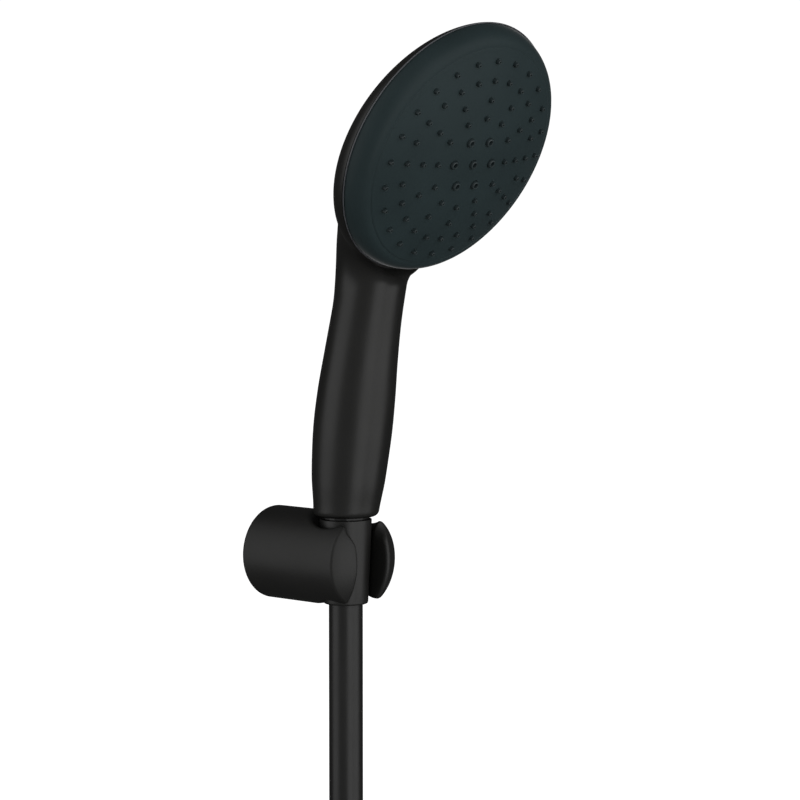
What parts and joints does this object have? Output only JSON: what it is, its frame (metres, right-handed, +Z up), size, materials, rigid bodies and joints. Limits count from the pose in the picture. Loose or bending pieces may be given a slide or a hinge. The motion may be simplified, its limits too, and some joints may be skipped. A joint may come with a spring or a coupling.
{
  "type": "hand shower set",
  "caption": "Round-headed hand shower standing in a forked cylindrical wall holder, with a smooth hose whose spare length is coiled and tied.",
  "frame": {"origin": "centre of the holder's round mounting face, on the wall plane", "axes": "+X out of the wall into the room, +Z up, +Y sideways along the wall"},
  "size_m": [0.1343, 0.1714, 0.5752],
  "materials": {
    "black_plastic": "matt black",
    "black_metal": "matt black coating",
    "face_plastic": "satin slate",
    "hose_skin": "satin black",
    "silicone": "matt",
    "seal_rubber": "matt",
    "inner_plastic": "moulded white",
    "steel": "plain stainless",
    "brass": "turned",
    "chrome": "polished"
  },
  "bodies": {
    "holder": {"holder_body": "black_metal", "wall_bracket": "steel", "holder_grub_screw": "steel"},
    "hose_line": {"hose_tail_top": "brass", "hose": "hose_skin", "hose_coil": "hose_skin", "coil_tie_1": "seal_rubber", "coil_tie_2": "seal_rubber", "hose_ferrule_bottom": "chrome", "hose_tail_bottom": "brass", "hose_washer_bottom": "seal_rubber"},
    "handset": {"handset_shell": "black_plastic", "rim_ring": "face_plastic", "spray_face": "face_plastic", "nozzle_mat": "silicone", "centre_nozzle_insert": "silicone", "distributor_plate": "inner_plastic", "distributor_screw_1": "steel", "distributor_screw_2": "steel", "distributor_screw_3": "steel", "chamber_seal": "seal_rubber", "water_tube": "inner_plastic", "tube_seal_upper": "seal_rubber", "tube_seal_lower": "seal_rubber", "inlet_connector": "black_plastic", "inlet_filter": "steel", "flow_limiter": "inner_plastic", "cone_nut": "black_metal", "hose_washer_top": "seal_rubber"},
    "end_nut": {"hose_end_nut": "chrome"}
  },
  "joints": [
    {"name": "handset_lift", "type": "slide", "parent": "holder", "child": "hose_line", "axis": [0, 0, 1], "range_m": [0, 0.045]},
    {"name": "handset_turn", "type": "hinge", "parent": "hose_line", "child": "handset", "pos_m": [0.044, 0, 0.019], "axis": [0, 0, 1], "range_deg": [-60, 60]},
    {"name": "end_nut_turn", "type": "hinge", "parent": "hose_line", "child": "end_nut", "pos_m": [0.0748, 0.075, -0.3328], "axis": [0, 0, 1], "continuous": true}
  ]
}
